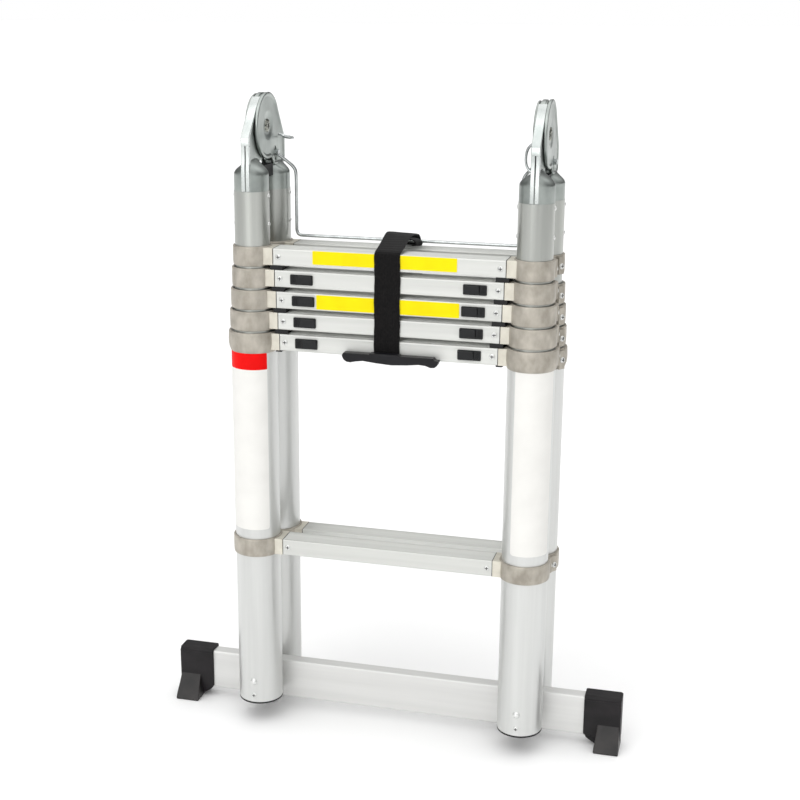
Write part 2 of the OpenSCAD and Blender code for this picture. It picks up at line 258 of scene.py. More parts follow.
def material(name, dark, light, rough, metallic=0.0, grain=(60, 60, 60), detail=4, spread=(0.3, 0.7),
             rough_spread=0.08, bump=0.0, bump_grain=None, specular=0.5, sheen=0.0):
    """A surface whose colour, roughness and height vary with procedural noise."""
    mat = bpy.data.materials.new(name)
    mat.use_nodes = True
    nodes, links = mat.node_tree.nodes, mat.node_tree.links
    shader = nodes["Principled BSDF"]
    shader.inputs["Metallic"].default_value = metallic
    shader.inputs["Specular IOR Level"].default_value = specular
    shader.inputs["Sheen Weight"].default_value = sheen
    where = nodes.new("ShaderNodeTexCoord")

    def noise(scale, levels):
        mapping = nodes.new("ShaderNodeMapping")
        mapping.inputs["Scale"].default_value = scale
        links.new(where.outputs["Object"], mapping.inputs["Vector"])
        tex = nodes.new("ShaderNodeTexNoise")
        tex.inputs["Scale"].default_value = 1
        tex.inputs["Detail"].default_value = levels
        links.new(mapping.outputs["Vector"], tex.inputs["Vector"])
        return tex

    tex = noise(grain, detail)
    ramp = nodes.new("ShaderNodeValToRGB")
    ramp.color_ramp.elements[0].position, ramp.color_ramp.elements[1].position = spread
    ramp.color_ramp.elements[0].color = tinted(dark)
    ramp.color_ramp.elements[1].color = tinted(light)
    links.new(tex.outputs["Fac"], ramp.inputs["Fac"])
    links.new(ramp.outputs["Color"], shader.inputs["Base Color"])
    fine = noise(bump_grain or [g * 4 for g in grain], 3)
    change = nodes.new("ShaderNodeMapRange")
    change.inputs["To Min"].default_value = rough - rough_spread
    change.inputs["To Max"].default_value = rough + rough_spread
    links.new(fine.outputs["Fac"], change.inputs["Value"])
    links.new(change.outputs["Result"], shader.inputs["Roughness"])
    if bump:
        relief = nodes.new("ShaderNodeBump")
        relief.inputs["Strength"].default_value = 1
        relief.inputs["Distance"].default_value = bump * MM
        links.new(fine.outputs["Fac"], relief.inputs["Height"])
        links.new(relief.outputs["Normal"], shader.inputs["Normal"])
    return mat


TUBE = material("tube_aluminium", (162, 164, 160), (190, 192, 187), 0.34, 0.95, (60, 60, 2), 5,
                bump=0.015, bump_grain=(900, 900, 12))
OUTER_TUBE = material("outer_tube_aluminium", (204, 205, 203), (216, 217, 215), 0.36, 0.78, (60, 60, 2), 5,
                      bump=0.015, bump_grain=(900, 900, 12))
TREAD = material("tread_aluminium", (200, 201, 197), (214, 215, 211), 0.42, 0.4, (2, 70, 70), 5,
                 bump=0.02, bump_grain=(12, 1400, 1400))
BAR = material("bar_aluminium", (209, 209, 207), (221, 221, 219), 0.45, 0.35, (2, 50, 50), 5,
               bump=0.02, bump_grain=(10, 900, 900))
CAST = material("collar_casting", (152, 146, 135), (190, 184, 173), 0.46, 0.45, (70, 70, 45), 7,
                (0.3, 0.72), 0.08, 0.06, (420, 420, 420))
BLOCK = material("block_casting", (198, 193, 180), (220, 216, 203), 0.48, 0.3, (60, 60, 60), 6,
                 (0.3, 0.7), 0.08, 0.05, (420, 420, 420))
STEEL = material("hinge_steel", (140, 146, 143), (176, 182, 178), 0.33, 0.97, (30, 30, 22), 4,
                 (0.3, 0.7), 0.05, 0.035, (60, 60, 60))
# the hinge steel made brighter for the flanges: a painted highlight for the bright bands they show
FLANGE_PAINTED_HIGHLIGHT = material("flange_steel_painted_highlight", (172, 178, 176), (206, 210, 208), 0.24, 0.92, (30, 30, 22), 4,
                  (0.3, 0.7), 0.05, 0.03, (60, 60, 60))
WIRE = material("bail_wire", (170, 174, 174), (200, 204, 204), 0.22, 0.95, (90, 90, 90), 3,
                bump=0.02, bump_grain=(400, 400, 400))
BOLT = material("fastener_steel", (206, 207, 205), (234, 235, 233), 0.3, 0.6, (200, 200, 200), 3,
                bump=0.02, bump_grain=(900, 900, 900))
BUTTON = material("button_plastic", (8, 9, 11), (20, 22, 24), 0.36, 0, (120, 120, 120), 4,
                  bump=0.05, bump_grain=(1500, 1500, 1500), specular=0.32)
RIVET = material("rivet_end", (48, 50, 46), (190, 192, 182), 0.34, 0.9, (380, 380, 380), 5,
                 (0.4, 0.62), 0.1, 0.7, (380, 380, 380))
# near-black plastic of the stop blocks and pads, also painted shade inside the screw recesses
STOP_PLASTIC_AND_RECESS_SHADE = material("stop_plastic", (8, 8, 9), (16, 16, 17), 0.5, 0, (150, 150, 150), 3,
                bump=0.05, bump_grain=(1200, 1200, 1200), specular=0.35)
RUBBER = material("boot_rubber", (14, 12, 14), (30, 27, 29), 0.5, 0, (35, 35, 50), 6,
                  (0.3, 0.75), 0.12, 0.12, (700, 700, 700), specular=0.28)
# the same rubber as the cap, lighter as a painted sheen, with a glossier surface
TOE_PAINTED_SHEEN = material("toe_rubber_painted_sheen", (16, 15, 15), (46, 42, 41), 0.42, 0, (28, 28, 34), 6,
               (0.35, 0.75), 0.1, 0.12, (700, 700, 700), specular=0.45)
PLUG = material("plug_rubber", (14, 13, 14), (28, 27, 28), 0.65, 0, (80, 80, 80), 5,
                bump=0.1, bump_grain=(800, 800, 800), specular=0.3)
HANDLE = material("handle_plastic", (10, 10, 13), (22, 22, 26), 0.42, 0, (60, 60, 60), 4,
                  bump=0.08, bump_grain=(1000, 1000, 1000), specular=0.25)
YELLOW = material("sticker_yellow", (236, 216, 0), (244, 226, 0), 0.5, 0, (40, 40, 40), 3,
                  bump=0.02, bump_grain=(500, 500, 500), specular=0.12)
WHITE = material("sticker_white", (229, 228, 224), (234, 233, 229), 0.45, 0, (30, 30, 30), 3,
                 bump=0.02, bump_grain=(500, 500, 500), specular=0.3)
RED = material("sticker_red", (222, 2, 1), (240, 6, 4), 0.5, 0, (40, 40, 40), 3,
               bump=0.02, bump_grain=(500, 500, 500), specular=0.12)


WEAVE = (("X", 520), ("Z", 640), ("Y", 640))  # direction and closeness of each set of ribs
WEAVE_SCALE = 0.8 / math.pi


def webbing(name):
    """Black woven webbing: ribs along and across the strap."""
    mat = material(name, (4, 3, 4), (20, 18, 18), 0.8, 0, (500, 500, 260), 3, (0.35, 0.75),
                   0.08, specular=0.15, sheen=0.08)
    nodes, links = mat.node_tree.nodes, mat.node_tree.links
    shader = nodes["Principled BSDF"]
    where = nodes.new("ShaderNodeTexCoord")
    heights = []
    for direction, closeness in WEAVE:
        wave = nodes.new("ShaderNodeTexWave")
        wave.bands_direction = direction
        wave.inputs["Scale"].default_value = closeness * WEAVE_SCALE
        wave.inputs["Distortion"].default_value = 0.6
        wave.inputs["Detail"].default_value = 1
        links.new(where.outputs["Object"], wave.inputs["Vector"])
        heights.append(wave.outputs["Fac"])
    total = heights[0]
    for h in heights[1:]:
        mix = nodes.new("ShaderNodeMath")
        mix.operation = "ADD"
        links.new(total, mix.inputs[0])
        links.new(h, mix.inputs[1])
        total = mix.outputs["Value"]
    relief = nodes.new("ShaderNodeBump")
    relief.inputs["Strength"].default_value = 0.8
    relief.inputs["Distance"].default_value = 0.25 * MM
    links.new(total, relief.inputs["Height"])
    links.new(relief.outputs["Normal"], shader.inputs["Normal"])
    return mat


STRAP = webbing("strap_webbing")

NODE_MATERIALS = [
    ("tubes_5", OUTER_TUBE), ("tubes", TUBE), ("collars", CAST), ("tread", TREAD),
    ("button", BUTTON), ("shells", STEEL), ("plates", STEEL), ("discs", STEEL),
    ("pivots", BOLT), ("stop_blocks", STOP_PLASTIC_AND_RECESS_SHADE), ("bail", WIRE), ("boots", RUBBER),
    ("bolts", BOLT), ("stabiliser", BAR), ("plugs", PLUG), ("feet", PLUG),
    ("handle", HANDLE), ("strap", STRAP),
]
# every CAD node gets the finish of the first part name that its own name holds
for node_name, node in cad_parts.items():
    finish = next(m for part, m in NODE_MATERIALS if part in node_name)
    node.data.materials.clear()
    node.data.materials.append(finish)


# ---- Camera, light and floor ----

CAMERA_AT = Vector((0.4829, -1.8938, 1.0412))
LOOKING = Vector((-0.23620, 0.93307, -0.27127)).normalized()
RIGHT = Vector((0.96884, 0.24757, 0.00796))
SENSOR = 36
LENS = 64.925

camera = bpy.data.cameras.new("camera")
camera.sensor_width, camera.lens = SENSOR, LENS
camera.clip_start, camera.clip_end = 0.05, 50
camera_object = bpy.data.objects.new("camera", camera)
bpy.context.scene.collection.objects.link(camera_object)
bpy.context.scene.camera = camera_object
right = (RIGHT - LOOKING * RIGHT.dot(LOOKING)).normalized()
up = right.cross(LOOKING)
turn = Matrix((right, up, -LOOKING)).transposed().to_4x4()
camera_object.matrix_world = Matrix.Translation(CAMERA_AT) @ turn


def soft_sun(name, azimuth, elevation, spread, strength):
    """Wide even light from a direction, azimuth 0 from the front and 90 from the right."""
    light = bpy.data.lights.new(name, "SUN")
    light.angle, light.energy = math.radians(spread), strength
    obj = bpy.data.objects.new(name, light)
    bpy.context.scene.collection.objects.link(obj)
    a, e = math.radians(azimuth), math.radians(elevation)
    away = (math.sin(a) * math.cos(e), -math.cos(a) * math.cos(e), math.sin(e))
    obj.matrix_world = facing(Vector(), away)


soft_sun("key", -28, 42, 60, 0.6)
soft_sun("front", -10, 8, 30, 0.6)
soft_sun("fill", 42, 28, 50, 0.22)
soft_sun("top", 150, 78, 90, 0.7)

world = bpy.data.worlds.new("studio")
bpy.context.scene.world = world
world.use_nodes = True
w_nodes, w_links = world.node_tree.nodes, world.node_tree.links
w_where = w_nodes.new("ShaderNodeTexCoord")
w_split = w_nodes.new("ShaderNodeSeparateXYZ")
w_links.new(w_where.outputs["Generated"], w_split.inputs["Vector"])


def sky_share(axis, start, end, low, high):
    """Strength that changes smoothly with one direction."""
    share = w_nodes.new("ShaderNodeMapRange")
    share.interpolation_type = "SMOOTHSTEP"
    for socket, value in (("From Min", start), ("From Max", end), ("To Min", low), ("To Max", high)):
        share.inputs[socket].default_value = value
    w_links.new(w_split.outputs[axis], share.inputs["Value"])
    return share.outputs["Result"]


w_sum = w_nodes.new("ShaderNodeMath")
w_sum.operation = "ADD"
w_links.new(sky_share("Z", 0.0, 0.9, 0.08, 0.98), w_sum.inputs[0])
w_links.new(sky_share("Y", -0.95, -0.3, 0.2, 0.0), w_sum.inputs[1])
w_ray = w_nodes.new("ShaderNodeLightPath")
w_mix = w_nodes.new("ShaderNodeMix")
w_links.new(w_ray.outputs["Is Camera Ray"], w_mix.inputs["Factor"])
w_links.new(w_sum.outputs["Value"], w_mix.inputs["A"])
w_mix.inputs["B"].default_value = 1.0
w_links.new(w_mix.outputs["Result"], w_nodes["Background"].inputs["Strength"])
w_nodes["Background"].inputs["Color"].default_value = (1, 1, 1, 1)

FLOOR_HALF_M = 60
FLOOR_GAP_M = 0.0004
floor_mesh = bpy.data.meshes.new("floor")
floor_mesh.from_pydata([(x * FLOOR_HALF_M, y * FLOOR_HALF_M, -FLOOR_GAP_M)
                        for x, y in ((-1, -1), (1, -1), (1, 1), (-1, 1))], [], [(0, 1, 2, 3)])
floor = bpy.data.objects.new("floor", floor_mesh)
bpy.context.scene.collection.objects.link(floor)
floor_mesh.materials.append(material("floor_paper", (250, 250, 250), (254, 254, 254), 0.9, 0,
                                     (2, 2, 2), 2, specular=0.1))
floor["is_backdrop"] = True
bpy.context.scene.view_settings.view_transform = "Standard"


# ---- Fasteners, made once and placed many times ----

def cross_screw(radius, height):
    """A round head with a cross recess, standing on z = 0."""
    head = Shape()
    head.lathe([(0.01, height), (radius * 0.5, height * 0.93), (radius * 0.8, height * 0.68),
                (radius * 0.96, height * 0.3), (radius, 0), (radius * 0.98, -0.6), (0.01, -0.6)],
               count=28)
    obj = head.piece("head", "front_base", [BOLT])
    a, b = radius * 0.14, radius * 0.62
    cross = [(a, a), (a, b), (-a, b), (-a, a), (-b, a), (-b, -a), (-a, -a), (-a, -b), (a, -b),
             (a, -a), (b, -a), (b, a)]
    cutter = Shape()
    cutter.prism(cross, height * 0.25, height * 2)
    tool = cutter.piece("cutter", "front_base", [STOP_PLASTIC_AND_RECESS_SHADE])
    mod = obj.modifiers.new("cut", "BOOLEAN")
    mod.object, mod.operation, mod.solver = tool, "DIFFERENCE", "EXACT"
    settle(obj)
    verts = [v.co / MM for v in obj.data.vertices]
    faces = [list(p.vertices) for p in obj.data.polygons]
    # faces inside the cross recess, later coloured black as painted shade
    deep = [1 if p.center.z < (height * 0.9) * MM and p.center.xy.length < b * MM
            and p.center.z > 0 else 0 for p in obj.data.polygons]
    for o in (obj, tool):
        bpy.data.objects.remove(o)
    return verts, faces, deep


TREAD_SCREW = cross_screw(4.0, 1.4)
LUG_SCREW = cross_screw(4.3, 2.4)


def put_screw(shape, screw, at):
    """Adds a screw, with its recess in the shape's second material, a black that paints the recess's
    shade.
    """
    verts, faces, deep = screw
    for which in (0, 1):
        shape.add(verts, [f for f, d in zip(faces, deep) if d == which], at, which)


def dome(shape, radius, height, at, count=24):
    """A rivet head standing on z = 0."""
    shape.lathe([(0.02, height), (radius * 0.45, height * 0.92), (radius * 0.78, height * 0.66),
                 (radius * 0.97, height * 0.25), (radius, 0), (radius, -0.6), (0.02, -0.6)],
                at, 0, count)


# ---- Clamps at the ends of the treads ----

COLLAR_WALL = 2.8
COLLAR_RISE = 1.5
BASE_COLLAR_H = 29
LUG_TURN = 35
LUG_OUT = 4.2


def ring_profile(r, low, high, crown, taper):
    """Section of a clamp ring with rounded rims; its bottom may draw in."""
    out = r + COLLAR_WALL
    return [(r + 0.05, low), (out - 1 - taper, low), (out - 0.3 - taper, low + 0.5),
            (out - taper * 0.8, low + 1.4), (out - taper * 0.3 + crown * 0.6, low + (high - low) * 0.2),
            (out + crown, low + (high - low) * 0.42), (out + crown, low + (high - low) * 0.62),
            (out + crown * 0.5, high - 2.2), (out + 0.1, high - 1), (out - 0.35, high - 0.25),
            (out - 0.9, high), (r + 0.05, high)]


def clamp(shape, half, k, side):
    f = FACTS[half, k]
    at = place(half, side)
    collar_low, _ = box_mm(f"{half}_collars_{min(k, 5)}")
    mid = f["top"] - f["h"] / 2
    ring_top = f["top"] + COLLAR_RISE
    ring_low = collar_low.z if k != 5 else ring_top - BASE_COLLAR_H
    crown, taper = (0.9, 2.0) if k == 5 else (0.35, 0.0)
    shape.lathe(ring_profile(f["r"], ring_low, ring_top, crown, taper), at, 0, 72, closed=True)
    reach = HALF_X - f["end"]
    wall = f["r"] + COLLAR_WALL / 2
    turn = math.degrees(math.asin(f["depth"] / 2 / wall))
    plan = [(-reach, f["depth"] / 2)] + arc(wall, 180 - turn, 180 + turn, 13) + [(-reach, -f["depth"] / 2)]
    shape.prism(plan, f["top"] - f["h"], f["top"], at, 1)
    # the ear that the clamp's bolt goes through
    lug = at @ Matrix.Rotation(math.radians(LUG_TURN), 4, "Z")
    shape.prism([(f["r"] + 0.6, -6.5), (f["r"] + COLLAR_WALL + LUG_OUT, -5.2),
                 (f["r"] + COLLAR_WALL + LUG_OUT, 5.2), (f["r"] + 0.6, 6.5)],
                ring_low + 1.4, ring_top - 1.6, lug, 0)
    return lug @ facing((f["r"] + COLLAR_WALL + LUG_OUT, 0, mid - 1.5), (1, 0, 0))


for half in HALVES:
    for k in STAGES:
        clamps, bolts = Shape(), Shape()
        for side in SIDES:
            for tread in treads_of(k):
                put_screw(bolts, LUG_SCREW, clamp(clamps, half, tread, side))
        clamps.piece(f"{half}_clamps_{k}", stage_body(half, k), [CAST, BLOCK], "collar_casting",
                     f"{half}_collars_{k}", bevel=0.7, sharp=40)
        bolts.piece(f"{half}_clamp_bolts_{k}", stage_body(half, k), [BOLT, STOP_PLASTIC_AND_RECESS_SHADE], "fastener_steel",
                    sharp=50)


# ---- Treads ----

LIP = 3.0
LIP_STEP = 0.25
RIB_PITCH = 3.3
RIB = 1.9
GROOVE = 0.6
CORNER = 1.3


def tread_outline(depth, h):
    """Ribbed section of a tread, y towards the other half and z up, about its middle."""
    w, t = depth / 2, h / 2
    face = [(0, -t + LIP), (LIP_STEP, -t + LIP + 0.3), (LIP_STEP, t - LIP - 0.3), (0, t - LIP)]
    outer = [(-w + x, z) for x, z in face]
    inner = [(w - x, z) for x, z in reversed(face)]
    ribs = []
    n = int((depth - 5) / RIB_PITCH)
    for i in range(n):
        y = (i - (n - 1) / 2) * RIB_PITCH
        ribs += [(y - RIB / 2, t - GROOVE), (y - RIB / 2 + 0.25, t), (y + RIB / 2 - 0.25, t),
                 (y + RIB / 2, t - GROOVE)]
    flat = [(-w + 2.2, t), (ribs[0][0] - 0.9, t), (ribs[0][0] - 0.8, t - GROOVE)]
    flat_in = [(-y, z) for y, z in reversed(flat)]
    cx, cz = w - CORNER, t - CORNER
    return (outer + arc(CORNER, 180, 90, 5, (-cx, cz)) + flat + ribs + flat_in
            + arc(CORNER, 90, 0, 5, (cx, cz)) + inner
            + arc(CORNER, 0, -90, 5, (cx, -cz)) + arc(CORNER, -90, -180, 5, (-cx, -cz)))


ALONG_X = Matrix(((0, 0, 1, 0), (1, 0, 0, 0), (0, 1, 0, 0), (0, 0, 0, 1)))
SCREW_INSET = 8
PAD_PAST = 14
PAD_GAP = 0.4
GASKET = 0.9


def centre_line(half):
    """Matrix from a half's own frame, midway between its tubes, to the ladder's frame."""
    return Matrix.Translation((0, FACTS[half, 1]["y"], 0)) @ Matrix.Diagonal((1, TURN[half], 1, 1))


for half in HALVES:
    for k in STAGES:
        bodies, screws, pads = Shape(), Shape(), Shape()
        for tread in treads_of(k):
            f = FACTS[half, tread]
            mid = f["top"] - f["h"] / 2
            at = centre_line(half)
            bodies.prism(tread_outline(f["depth"], f["h"]), -f["end"] + GASKET, f["end"] - GASKET,
                         at @ Matrix.Translation((0, 0, mid)) @ ALONG_X)
            for side in SIDES:
                screw_at = (side * (f["end"] - SCREW_INSET), -f["depth"] / 2 + LIP_STEP, mid)
                put_screw(screws, TREAD_SCREW, at @ facing(screw_at, (0, -1, 0)))
                gasket = rounded(f["depth"] + 0.2, f["h"] + 0.2, 1.5)
                pads.prism(gasket, side * (f["end"] - GASKET), side * f["end"],
                           at @ Matrix.Translation((0, 0, mid)) @ ALONG_X)
                if tread == MID:
                    continue
                below = FACTS[half, min(k + 1, 5)]
                gap = f["top"] - f["h"] - below["top"] if k < 5 else 0
                deep = 5.6 if half == "rear" and k == 1 else gap - PAD_GAP if k < 5 else 2.2
                outer = HALF_X - below["r"] - COLLAR_WALL - (0.6 if k < 5 else 1.2)
                inner = f["end"] - (PAD_PAST if k < 5 else 3)
                pad = ((inner, -1), (outer - 1, -1), (outer, -0.7),
                       (outer, 0.7), (outer - 1, 1), (inner, 1))
                plan = [(side * x, y * (f["depth"] / 2 - 0.6)) for x, y in pad]
                pads.prism(plan, f["top"] - f["h"] - deep, f["top"] - f["h"] + 0.3, at)
        body = stage_body(half, k)
        bodies.piece(f"{half}_tread_bars_{k}", body, TREAD, "tread_aluminium", tread_node(half, k),
                     sharp=20)
        screws.piece(f"{half}_tread_screws_{k}", body, [BOLT, STOP_PLASTIC_AND_RECESS_SHADE], "fastener_steel", sharp=50)
        pads.piece(f"{half}_tread_pads_{k}", body, STOP_PLASTIC_AND_RECESS_SHADE, "stop_plastic", bevel=0.35)


# ---- Slide buttons ----

BUTTON_FACE = 0.3
BUTTON_LONG = 32
BUTTON_TALL = 14
BUTTON_INSET = 23  # from the tread's end
THUMB_LONG = 22
RIDGE_PITCH = 1.9
ROD_R = 3

for half in HALVES:
    for k in STAGES[1:]:
        for side, word in ((-1, "left"), (1, "right")):
            name = f"{half}_button_{k}_{word}"
            low, high = box_mm(name)
            f = FACTS[half, k]
            face = -f["depth"] / 2 - BUTTON_FACE
            edge = (low.y if half == "front" else -high.y) - TURN[half] * f["y"]
            mid = f["top"] - f["h"] / 2
            outer = f["end"] - BUTTON_INSET
            at = (centre_line(half) @ Matrix.Translation((side * (outer - BUTTON_LONG / 2), face, mid))
                  @ Matrix.Diagonal((side, 1, 1, 1)) @ Matrix.Rotation(math.pi / 2, 4, "X"))
            # a bezel, a thumb pad with three ridges beside it, and the rod into the tube
            thumb = face - edge
            shape = Shape()
            shape.prism(rounded(BUTTON_LONG, BUTTON_TALL, 1.6), -0.1, 1.2, at)
            pad = rounded(THUMB_LONG, BUTTON_TALL - 1.6, 2.6)
            base = [(x - 4.5, y) for x, y in pad]
            top = [(x * 0.93 - 4.6, y * 0.86) for x, y in pad]
            shape.loft([[(x, y, 1.0) for x, y in base], [(x, y, thumb - 0.9) for x, y in base],
                        [(x, y, thumb) for x, y in top]], at)
            for i in range(3):
                x = BUTTON_LONG / 2 - 2.6 - RIDGE_PITCH * i
                ridge = [(x - 0.5, -4.6), (x + 0.5, -4.6), (x + 0.5, 4.6), (x - 0.5, 4.6)]
                shape.prism(ridge, 1.0, 1.9, at)
            shape.prism(rounded(10, 7, 0.8), -(f["depth"] / 2), -BUTTON_FACE, at)
            reach = abs(high.x if side > 0 else low.x)
            rod = centre_line(half) @ Matrix.Translation((0, 0, mid)) @ facing((0, 0, 0), (side, 0, 0))
            shape.lathe([(0.02, outer - 20), (ROD_R, outer - 20), (ROD_R, reach - 0.6),
                         (ROD_R - 0.6, reach), (0.02, reach)], rod, 1, 24)
            shape.piece(f"{name}_slider", name, [BUTTON, BOLT], "button_plastic", name, bevel=0.35)


# ---- Rivets in the tube tops ----

RIVET_R = 3.3
RIVET_H = 1.9
RIVET_DROPS = (6.6, 45)  # below the tube's top

for half in HALVES:
    rivets = Shape()
    f = FACTS[half, 1]
    for side in SIDES:
        for outward in (-1, 1):
            for down in RIVET_DROPS:
                on_tube = facing((outward * f["r"], 0, f["tube_top"] - down), (outward, 0, 0))
                dome(rivets, RIVET_R, RIVET_H, place(half, side) @ on_tube)
    rivets.piece(f"{half}_tube_rivets", stage_body(half, 1), BOLT, "fastener_steel", sharp=50)


# ---- Hinges ----

ARM_HALF = 6
SEAM = 0.3
PLUG_R = 23.5
PLUG_DEEP = 30
PLUG_STRAIGHT = 21
DISC_R = 44.5


def d_section(w, mid, d, power, z, count=21):
    """Half of a rounded section on the +x side of the seam."""
    points = []
    for i in range(count):
        a = math.radians(-90 + 180 * i / (count - 1))
        c, s = math.cos(a), math.sin(a)
        points.append((SEAM + (w - SEAM) * max(c, 0) ** (2 / power),
                       mid + d * math.copysign(abs(s) ** (2 / power), s), z))
    return points


def shoulder(shape, base, top_half, top_mid, top_d, rise, at, y_axis):
    """Half of a tube plug that narrows like a bottle to the hinge arm."""
    start = base + PLUG_STRAIGHT
    rings = [d_section(PLUG_R, y_axis, PLUG_R, 2, z) for z in (base - PLUG_DEEP, base, start)]
    # the outline turns in along one arc and up again along another
    count = 26
    for i in range(1, count + 1):
        turned = math.pi * i / count
        across = (1 - math.cos(turned)) / 2
        height = (turned + 0.12 * math.sin(2 * turned) / 2) / math.pi
        rings.append(d_section(PLUG_R + (top_half - PLUG_R) * across,
                               y_axis + (top_mid - y_axis) * across, PLUG_R + (top_d - PLUG_R) * across,
                               2 + 0.5 * across, start + rise * height))
    shape.loft(rings, at)


def at_pivot(side):
    """Frame with x along the ladder's y, y up and z outwards at a hinge pivot."""
    return (Matrix.Translation((side * HALF_X, 0, PIVOT_Z))
            @ Matrix(((0, 0, 1, 0), (1, 0, 0, 0), (0, 1, 0, 0), (0, 0, 0, 1))))


FRONT_BASE = FACTS["front", 1]["tube_top"]
REAR_BASE = FACTS["rear", 1]["tube_top"]
# outlines about the pivot, x along the ladder's y; the flanges clear the disc and the lock bolt
FRONT_ARM = ([(-66.2, -46), (-66.2, -16), (-65, -10.6)] + arc(43, 139, 62, 10)
             + [(27, 28), (34, 12), (35, -6), (27, -26), (10, -40), (-23, -46)])
UPPER_FLANGE = ([(-68, -22), (-68, -13.5), (-66.9, -8.6)] + arc(DISC_R + 0.25, 139, 116, 7)
                + arc(41.6, 116, 139, 7) + [(-62.6, -10.2), (-63.6, -15), (-63.6, -22)])
LOWER_FLANGE = [(-68.9, -82.8), (-68.9, -52), (-67.6, -42), (-67.6, -21.5), (-63.4, -21.5), (-63.4, -82.8)]

shells, shoulders = Shape(), Shape()
for side in SIDES:
    for hand in (-1, 1):
        flip = Matrix.Diagonal((1, 1, hand, 1))
        shells.prism(FRONT_ARM, SEAM, ARM_HALF - 1.2, at_pivot(side) @ flip)
        # the flanges take the second material, the brighter steel with the painted highlight
        shells.prism(LOWER_FLANGE, SEAM + 0.15, ARM_HALF, at_pivot(side) @ flip, 1)
        local = Matrix.Translation((side * HALF_X, 0, 0)) @ Matrix.Diagonal((hand, 1, 1, 1))
        shoulder(shoulders, FRONT_BASE, top_half=ARM_HALF - 1.5, top_mid=-45.2, top_d=21.5, rise=24,
                 at=local, y_axis=FACTS["front", 1]["y"])
    shells.prism(UPPER_FLANGE, -ARM_HALF, ARM_HALF, at_pivot(side), 1)
shells.piece("front_hinge_arms", "front_stage_1", [STEEL, FLANGE_PAINTED_HIGHLIGHT], "hinge_steel", "front_hinge_shells",
             bevel=0.9, sharp=30)
shoulders.piece("front_hinge_shoulders", "front_stage_1", STEEL, "hinge_steel", sharp=75)

REAR_LEG = [(22, -56), (67, -56), (67, -21), (41, 18.5), (0, 0.1), (0.1, -10), (12, -43)]
PLATE_R = 45
PLATE_IN = 6.35
PLATE_FACE = 9.0
PLATE_RIM = 10.3
# the plate on each hinge's left side is smaller and flatter
PLAIN_R = 43
PLAIN_RIM = 8.7
PLAIN_FACE = 8.2
LEG_HALF = PLATE_FACE + 0.6
PIVOT_HOLE_R = 8.1
BEAD_R = 22  # outside the bead round the dished middle
RIM_EDGES = (0, 0.5, 1.4, 3.4, 4.6, 6.2)  # distances from the plate's edge


def ray_reach(polygon, a):
    """Farthest crossing of a ray from the origin with a polygon."""
    dx, dy = math.cos(a), math.sin(a)
    best = 0
    for (x1, y1), (x2, y2) in zip(polygon, polygon[1:] + polygon[:1]):
        ex, ey = x2 - x1, y2 - y1
        det = ex * dy - ey * dx
        if abs(det) < 1e-9:
            continue
        along = (x1 * dy - y1 * dx) / -det
        if -1e-6 <= along <= 1 + 1e-6:
            px, py = x1 + ex * along, y1 + ey * along
            best = max(best, px * dx + py * dy)
    return best


def plate_height(rho, reach, rim_face, face):
    """Outer face of a rear plate, from the hinge's middle, by distance from pivot and from edge."""
    edge = reach - rho
    heights = (rim_face - 0.9, rim_face - 0.25, rim_face, rim_face, rim_face - 0.35, face)
    knots = [*zip(RIM_EDGES, heights), (100, face)]
    for (e1, x1), (e2, x2) in zip(knots, knots[1:]):
        if edge <= e2:
            rim = x1 + (x2 - x1) * max(0, edge - e1) / (e2 - e1)
            break
    dish = max(0.0, min(1.0, (19 - rho) / 8))
    ring = math.exp(-((rho - 20.5) / 2.2) ** 2) * 0.3
    return rim + ring - 1.2 * dish * dish * (3 - 2 * dish)


def rear_plate(shape, at, radius, rim_face, face):
    count = 144
    reaches = []
    for i in range(count):
        a = 2 * math.pi * i / count
        reaches.append(max(radius, ray_reach(REAR_LEG, a)))
    for _ in range(2):
        reaches = [(reaches[i - 1] + 2 * reaches[i] + reaches[(i + 1) % count]) / 4 for i in range(count)]

    def ring(steps, level):
        points = []
        for i, reach in enumerate(reaches):
            a = 2 * math.pi * i / count
            rho = steps(reach)
            points.append((rho * math.cos(a), rho * math.sin(a), level(rho, reach)))
        return points

    def height(rho, reach):
        return plate_height(rho, reach, rim_face, face)

    def inner_face(rho, reach):
        return PLATE_IN

    rings = [ring(lambda r: PIVOT_HOLE_R, inner_face), ring(lambda r: r - 0.4, inner_face)]
    for edge in RIM_EDGES:
        rings.append(ring(lambda r, e=edge: r - e, height))
    for q, back in ((1.0, 0.01), (0.66, 0), (0.33, 0)):
        rings.append(ring(lambda r, q=q, b=back: BEAD_R + (r - RIM_EDGES[-1] - BEAD_R) * q - b, height))
    for rho in (21.5, 20, 19, 18, 17, 15.5, 14, 12.5, 11.5, 10, PIVOT_HOLE_R):
        rings.append(ring(lambda r, rho=rho: rho, height))
    shape.loft(rings, at, closed=True)


def rosette(shape, at, height):
    """The pivot's riveted end: a dome with a notched rim and a dimple."""
    count, rings = 96, []
    for r, z, notch in ((0.02, height - 1.1, 0), (2.2, height - 1.0, 0), (3.2, height - 0.1, 0),
                        (5.2, height, 0.25), (7.4, height - 0.5, 0.6), (8.9, height - 1.2, 0.8),
                        (9.7, height - 2.2, 0.5), (9.7, height - 3.6, 0), (0.02, height - 3.6, 0)):
        rings.append([(r * math.cos(2 * math.pi * i / count), r * math.sin(2 * math.pi * i / count),
                       z - notch * (0.5 + 0.5 * math.cos(12 * 2 * math.pi * i / count)))
                      for i in range(count)])
    shape.loft(rings, at)


# the lock bolt lies just below the disc's rim
LOCK_Y = 30
LOCK_R = 4
LOCK_HALF = 14
LOCK_Z = PIVOT_Z - math.sqrt((DISC_R + 0.4 + LOCK_R) ** 2 - LOCK_Y ** 2)

